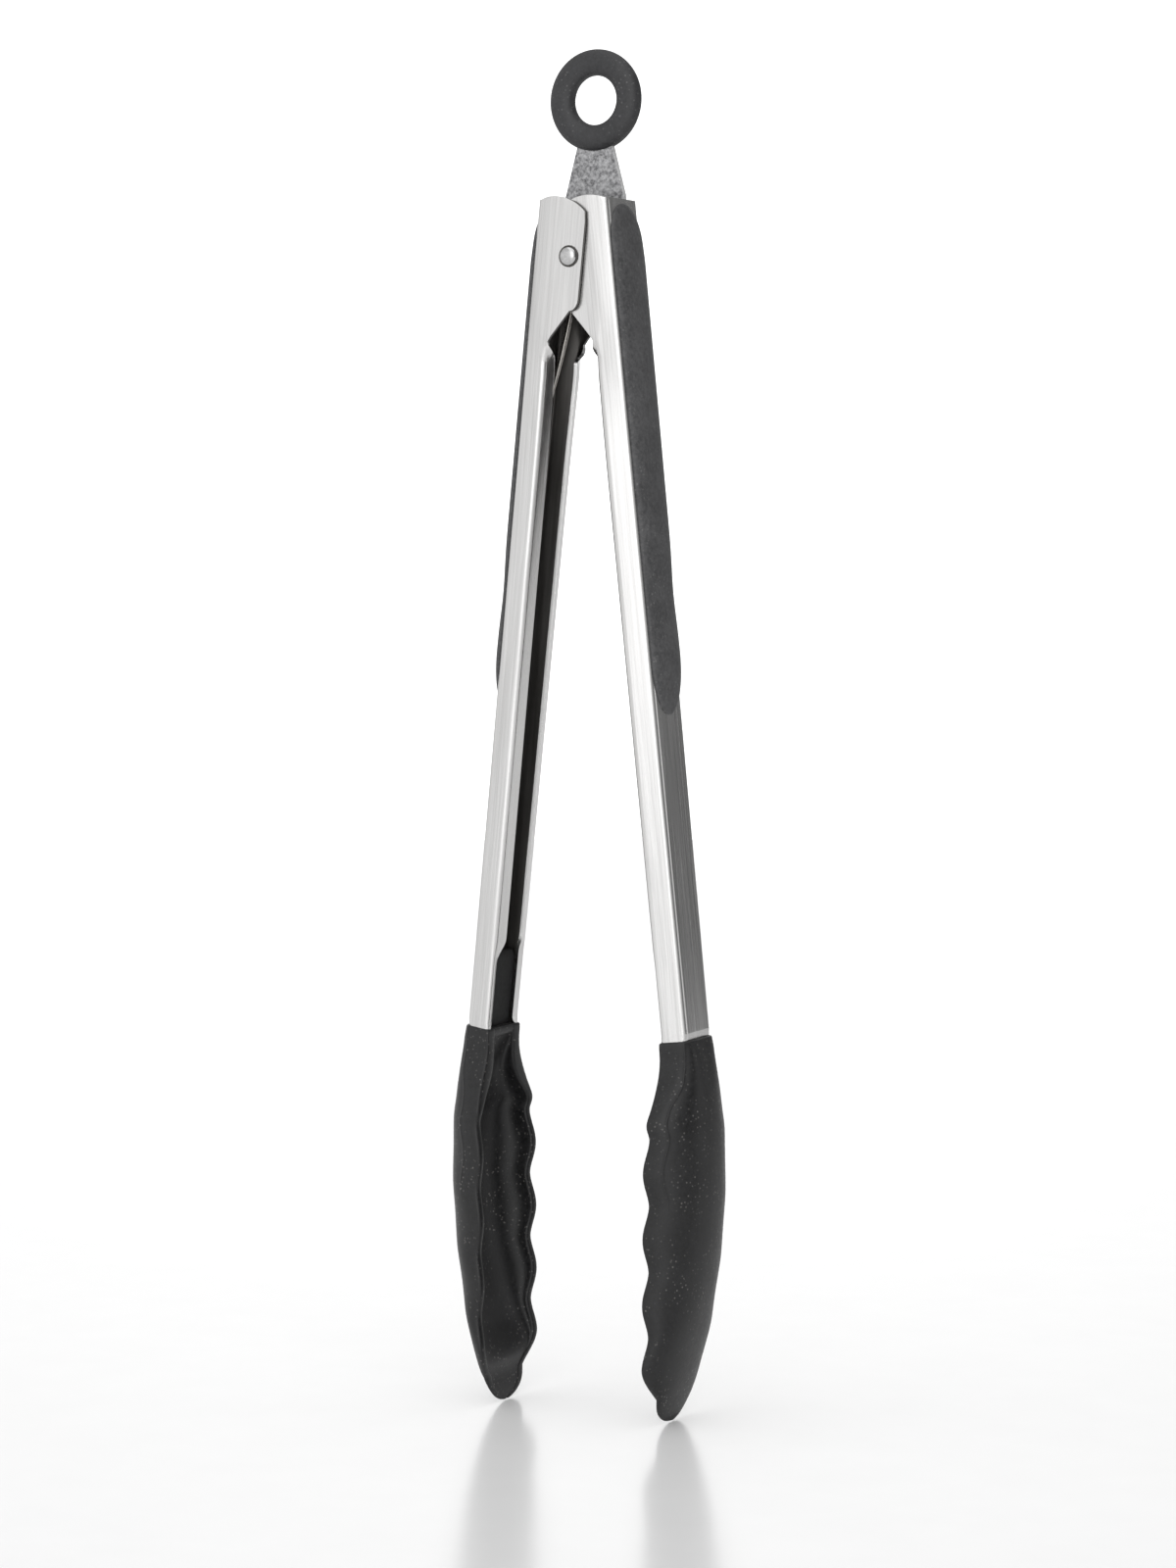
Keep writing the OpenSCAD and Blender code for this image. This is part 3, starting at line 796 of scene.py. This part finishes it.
def head_sleeve(side):
    """Silicone scoop, its rings closer together at the tip, and its top edge rounded over."""
    tip_rings, body_rings = 30, 130
    tip_length, edge = 9.5, 0.6
    ridge_height, top_ridge = 0.16, 0.1
    top = ARM_BOTTOM - edge
    heights = [TIP_Z + 0.05 + tip_length * (i / tip_rings) ** 1.8 for i in range(tip_rings)]
    heights += list(np.linspace(TIP_Z + 0.1 + tip_length, top, body_rings))
    outlines = [shell_outline(z, 0, ridge_height * (1 - ramp(z, -226, -240))) for z in heights]
    for k in (0.35, 0.65, 0.88, 1.0):
        heights.append(top + edge * k)
        outlines.append(shell_outline(top, 0.5 * (math.sqrt(1 - k * k) - 1), top_ridge))
    count = len(outlines[0])
    points = [(x, y, z) for z, line in zip(heights, outlines) for x, y in line]
    faces = ring_faces(count, len(heights))
    faces += [tuple(range(count)), tuple(reversed(range((len(heights) - 1) * count, len(points))))]
    piece = make_piece(f"{side}_scoop", points, faces, SILICONE, arm_matrix(side), side == "left")
    return attach(piece, f"{side}_arm", "head_silicone", f"{side}_head_sleeve")


def head_core(side):
    """Nylon plug in the end of the channel, and the blade it sends down inside the scoop's wall."""
    seat, gap, side_gap, cut = 0.45, 0.02, 0.1, 0.6
    front = ARM_X - CHANNEL_D + SHEET + seat
    web = ARM_X - SHEET - gap
    half = WEB_BOTTOM - SHEET - side_gap
    section = [(front + cut, -half), (web - cut, -half), (web, cut - half), (web, half - cut),
               (web - cut, half), (front + cut, half), (front, half - cut), (front, cut - half)]
    corners = len(section)
    middle_x = (front + web) / 2
    # Heights of the plug with how full its section is there, rounded over at the top
    stack = [(-195.4, 1.0), (-177.0, 1.0), (-175.6, 0.94), (-174.9, 0.82), (-174.6, 0.62)]
    points = [(middle_x + (x - middle_x) * k, y * k, z) for z, k in stack for x, y in section]
    faces = ring_faces(corners, len(stack))
    faces += [tuple(range(corners)), tuple(range(len(points) - corners, len(points)))]
    blade_end, blade_top = -278, -195.3
    heights = list(np.linspace(blade_end, blade_top, 60))
    outlines = [shell_outline(z, -SKIN) for z in heights]
    count = len(outlines[0])
    start = len(points)
    points += [(x, y, z) for z, line in zip(heights, outlines) for x, y in line]
    faces += ring_faces(count, len(heights), start)
    faces += [tuple(range(start, start + count)), tuple(range(len(points) - count, len(points)))]
    piece = make_piece(f"{side}_plug", points, faces, NYLON, arm_matrix(side), side == "left")
    bevel(piece, 0.3, segments=2, angle=40)
    return attach(piece, f"{side}_arm", "core_nylon", f"{side}_head_core")


# ---------------------------------------------------------------- pivot, tab and ring

def lathe(name, profile, material, matrix, segments=48):
    """A solid turned about z from (radius, height) points, from axis to axis."""
    points = [(r * math.cos(2 * math.pi * k / segments), r * math.sin(2 * math.pi * k / segments), h)
              for r, h in profile for k in range(segments)]
    faces = ring_faces(segments, len(profile))
    faces += [tuple(range(segments)), tuple(range((len(profile) - 1) * segments, len(points)))]
    return make_piece(name, points, faces, material, matrix)


def rivet():
    """Rivet with a domed head at each end, which rises from a groove inside a thin rim; the rim and
    groove are painted dark, a painted shadow ring round the dome.
    """
    low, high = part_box("pivot_rivet")
    half = (high.y - low.y) / MM / 2
    head_r = (high.x - low.x) / MM / 2
    face = EARS["left"]
    dome_foot, dome_r, shank_r = 0.2, head_r - 0.4, 2.0
    dome_h = half - face - dome_foot
    dome = [(dome_r * math.cos(a) ** 0.8, face + dome_foot + dome_h * math.sin(a))
            for a in np.linspace(0.05, math.pi / 2 - 0.01, 14)]
    rim = [(head_r - 0.05, face + 0.02), (head_r, face + 0.2), (head_r - 0.06, face + 0.26)]
    groove = [(head_r - 0.2, face + 0.12), (dome_r + 0.02, face + 0.1)]
    end = [(shank_r, face - 0.4)] + rim + groove + dome
    profile = [(r, -h) for r, h in reversed(end)] + end
    matrix = Matrix.Translation(PIVOT) @ Matrix.Rotation(math.pi / 2, 4, "X")
    piece = lathe("rivet", profile, RIVET_STEEL, matrix)
    piece.data.materials.append(SHADE_STEEL["right"])
    # Faces outside the dome get the dark steel: a painted shadow ring round each head.
    for face in piece.data.polygons:
        if math.hypot(face.center.x - PIVOT.x, face.center.z - PIVOT.z) > (dome_r - 0.02) * MM:
            face.material_index = 1
    return attach(piece, "pivot", "rivet_steel", "pivot_rivet")


def tube_along(name, path, radius, material, matrix=None, sides=14):
    """Round wire along a list of points in millimetres."""
    line = np.array(path, float)
    ahead = np.gradient(line, axis=0)
    ahead /= np.linalg.norm(ahead, axis=1)[:, None]
    up = np.array([0.0, 1.0, 0.0])
    points = []
    for centre, way in zip(line, ahead):
        across = np.cross(way, up)
        across /= max(1e-9, np.linalg.norm(across))
        up = np.cross(across, way)
        for k in range(sides):
            a = 2 * math.pi * k / sides
            points.append(tuple(centre + radius * (math.cos(a) * across + math.sin(a) * up)))
    faces = ring_faces(sides, len(path))
    faces += [tuple(range(sides)), tuple(range(len(points) - sides, len(points)))]
    return make_piece(name, points, faces, material, matrix)


def spring():
    """Coil on the spacer sleeve, and a leg down to each web."""
    low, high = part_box("spring_coil")
    wire = (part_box("spring_left_leg")[1].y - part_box("spring_left_leg")[0].y) / MM / 2
    coil_r = (high.x - low.x) / MM / 2 - wire
    start, end = low.y / MM + wire, high.y / MM - wire
    turns, per_turn = 4, 40
    whole = 2 * math.pi * turns
    pivot_z = PIVOT.z / MM
    path = [(coil_r * math.cos(a), mix(start, end, a / whole), pivot_z + coil_r * math.sin(a))
            for a in np.linspace(0, whole, turns * per_turn + 1)]
    attach(tube_along("spring_coil_wire", path, wire, WIRE), "pivot", "spring_steel", "spring_coil")
    for side, sign in SIDES.items():
        node = f"spring_{side}_leg"
        y = (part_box(node)[0].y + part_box(node)[1].y) / MM / 2
        foot_x = ARM_X - SHEET - wire - 0.05
        route = [(bezier(3.9, 4.2, 4.6, foot_x, k), y, bezier(-3, -10, -20, -40, k))
                 for k in np.linspace(0, 1, 30)]
        route += [(foot_x, y, z) for z in (-41, -42.5, -44)]
        line = [(sign * x, yy, z) for x, yy, z in route]
        leg = tube_along(f"{node}_wire", line, wire, WIRE, arm_matrix(side))
        attach(leg, f"{side}_arm", "spring_steel", node)


def plate(name, outline, holes, thickness, material, matrix):
    """Flat plate from outlines in millimetres, drawn in x and z, thickness along y."""
    flat, faces = fill_flat(outline, holes, [], 1)
    front = [(x, -thickness / 2, z) for x, z in flat]
    back = [(x, thickness / 2, z) for x, z in flat]
    piece = make_piece(name, front + back, two_sided(faces, len(flat)), material, matrix)
    # The plate's cut edges get the pale edge steel, partly a painted highlight.
    piece.data.materials.append(CUT_EDGE_HIGHLIGHT)
    for face in piece.data.polygons:
        if abs(face.normal.y) < 0.5:
            face.material_index = 1
    bevel(piece, 0.18, segments=2, angle=50)
    return piece


def pull_tab():
    """Plate with an eye inside the ring, a flared neck and a slotted blade."""
    low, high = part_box("pull_tab")
    centre = Vector(HOLE["pos_m"])
    tab_y = (low.y + high.y) / 2
    half = (high.x - low.x) / MM / 2
    blade = (PIVOT.z - centre.z) / MM
    foot = (low.z - centre.z) / MM
    tab_w, shoulder_z = 8.2, -23.5
    foot_w, foot_cut = 5, 5
    slot_r, travel = 2.1, 8.2
    eye_turns = [math.radians(a) for a in range(-65, 246, 5)]
    eye = [(half * math.cos(a), half * math.sin(a)) for a in eye_turns]
    outline = eye + [(-tab_w, shoulder_z), (-tab_w, foot + foot_cut), (-foot_w, foot),
                     (foot_w, foot), (tab_w, foot + foot_cut), (tab_w, shoulder_z)]
    hole_r = HOLE["dims"]["r_mm"] + 1.6
    hole = [(hole_r * math.cos(a), hole_r * math.sin(a)) for a in np.linspace(0, 2 * math.pi, 49)[:-1]]
    slot = [(slot_r * math.cos(a), blade + slot_r * math.sin(a)) for a in np.linspace(0, math.pi, 17)]
    slot += [(slot_r * math.cos(a), blade - travel + slot_r * math.sin(a))
             for a in np.linspace(math.pi, 2 * math.pi, 17)]
    matrix = Matrix.Translation((0, tab_y, centre.z))
    piece = plate("tab_plate", outline, [hole, slot], (high.y - low.y) / MM, TAB_STEEL, matrix)
    return attach(piece, "tab", "tab_steel", "pull_tab")


def hanging_ring():
    """Rubber ring, its section a slightly squared oval."""
    low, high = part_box("hanging_ring")
    outer = (high.x - low.x) / MM / 2
    inner = HOLE["dims"]["r_mm"]
    mid, reach = (outer + inner) / 2, (outer - inner) / 2
    thick = (high.y - low.y) / MM / 2
    section, segments = 40, 128
    side_power, face_power = 0.86, 0.92
    points = []
    for i in range(segments):
        turn = 2 * math.pi * i / segments
        for j in range(section):
            a = 2 * math.pi * j / section
            r = mid + reach * signed_pow(math.cos(a), side_power)
            w = thick * signed_pow(math.sin(a), face_power)
            points.append((r * math.cos(turn), w, r * math.sin(turn)))
    faces = []
    for i in range(segments):
        here, ahead = i * section, ((i + 1) % segments) * section
        for j in range(section):
            k = (j + 1) % section
            faces.append((here + j, ahead + j, ahead + k, here + k))
    matrix = Matrix.Translation(Vector(HOLE["pos_m"]))
    piece = make_piece("rubber_ring", points, faces, RING, matrix)
    return attach(piece, "tab", "ring_rubber", "hanging_ring")


for side in SIDES:
    arm_sheet(side)
    grip_pad(side)
    head_sleeve(side)
    head_core(side)
rivet()
spring()
pull_tab()
hanging_ring()
CAD_MATERIALS = {"arm_steel": STEEL["right"], "tab_steel": TAB_STEEL, "rivet_steel": RIVET_STEEL,
                 "spring_steel": WIRE, "core_nylon": NYLON, "head_silicone": SILICONE,
                 "grip_rubber": GRIP, "ring_rubber": RING}
for part in frame["record"]["subparts"]:
    node = frame["nodes"][part["node"]]
    node.data.materials.clear()
    node.data.materials.append(CAD_MATERIALS[part["material_slot"]])


# ---------------------------------------------------------------- studio

def studio_floor():
    n = Nodes("pale_floor")
    n.set(Roughness=0.2, IOR=1.9, Emission_Color=(1, 1, 1, 1), Emission_Strength=0.1)
    grain = n.noise(n.place((1, 1, 1)), 40, detail=2)
    colour = n.colours(grain, [(0.3, (0.9, 0.9, 0.9)), (0.7, (0.92, 0.92, 0.92))])
    material = n.finish(colour)
    radius, below, corners = 1.6, -0.0002, 96
    mesh = bpy.data.meshes.new("floor")
    rim = [(radius * math.cos(a), radius * math.sin(a), below)
           for a in np.linspace(0, 2 * math.pi, corners + 1)[:-1]]
    mesh.from_pydata(rim, [], [tuple(range(corners))])
    floor = bpy.data.objects.new("floor", mesh)
    mesh.materials.append(material)
    bpy.context.scene.collection.objects.link(floor)


def softbox(name, azimuth, elevation, distance, size, power, target=Vector((0, 0, 0.16))):
    """Area light at an azimuth from the front (towards +X), facing the target."""
    light = bpy.data.lights.new(name, "AREA")
    light.shape = "RECTANGLE"
    light.size, light.size_y = size
    light.energy = power
    a, e = math.radians(azimuth), math.radians(elevation)
    way = Vector((math.sin(a) * math.cos(e), -math.cos(a) * math.cos(e), math.sin(e)))
    lamp = bpy.data.objects.new(name, light)
    lamp.location = target + distance * way
    lamp.rotation_euler = (-way).to_track_quat("-Z", "Y").to_euler()
    bpy.context.scene.collection.objects.link(lamp)


def studio_world():
    """Pale surround made of soft lobes of light, each a direction with its sharpness and strength."""
    ambient = 0.05
    front = ((0.25, -0.96, 0.05), 3.0, 1.1)
    left_front = ((-0.9, -0.42, 0.05), 3.0, 0.8)
    behind = ((-0.4735, 0.881, -0.02), 6.0, 1.5)
    above = ((0, 0, 1), 1.5, 0.5)
    right_strip = ((0.883, 0.469, 0.05), 30.0, 1.0)
    world = bpy.data.worlds.new("studio")
    world.use_nodes = True
    tree = world.node_tree
    background = tree.nodes["Background"]
    background.inputs["Color"].default_value = (1, 1, 1, 1)
    coords = tree.nodes.new("ShaderNodeTexCoord")

    def step(kind, operation, source, second):
        """A maths node fed by a socket, its second input a fixed value."""
        node = tree.nodes.new(kind)
        node.operation = operation
        node.inputs[1].default_value = second
        tree.links.new(source, node.inputs[0])
        return node

    total = None
    for direction, sharpness, strength in (front, left_front, behind, above, right_strip):
        toward = Vector(direction).normalized()
        facing = step("ShaderNodeVectorMath", "DOT_PRODUCT", coords.outputs["Generated"], toward)
        lit = step("ShaderNodeMath", "MAXIMUM", facing.outputs["Value"], 0.0)
        lobe = step("ShaderNodeMath", "POWER", lit.outputs["Value"], sharpness)
        add = step("ShaderNodeMath", "MULTIPLY_ADD", lobe.outputs["Value"], strength)
        if total is None:
            add.inputs[2].default_value = ambient
        else:
            tree.links.new(total, add.inputs[2])
        total = add.outputs["Value"]
    tree.links.new(total, background.inputs["Strength"])
    bpy.context.scene.world = world


def camera():
    """The product view: to the right of the front, looking slightly down at the middle."""
    azimuth, downward = math.radians(28.26), math.radians(4.301)
    distance, height = 0.9049, 0.2266
    lens = bpy.data.cameras.new("camera")
    lens.sensor_width = 36
    lens.lens = 83.45475
    eye = bpy.data.objects.new("camera", lens)
    eye.location = (distance * math.sin(azimuth), -distance * math.cos(azimuth), height)
    aim = Vector((0, 0, height - distance * math.tan(downward)))
    eye.rotation_euler = (aim - eye.location).to_track_quat("-Z", "Y").to_euler()
    bpy.context.scene.collection.objects.link(eye)
    bpy.context.scene.camera = eye


studio_floor()
studio_world()
softbox("key", 18, 22, 1.5, (1.0, 1.4), 3.5)
softbox("top", 30, 80, 1.4, (1.6, 1.6), 5)
camera()
bpy.context.scene.view_settings.view_transform = "Standard"
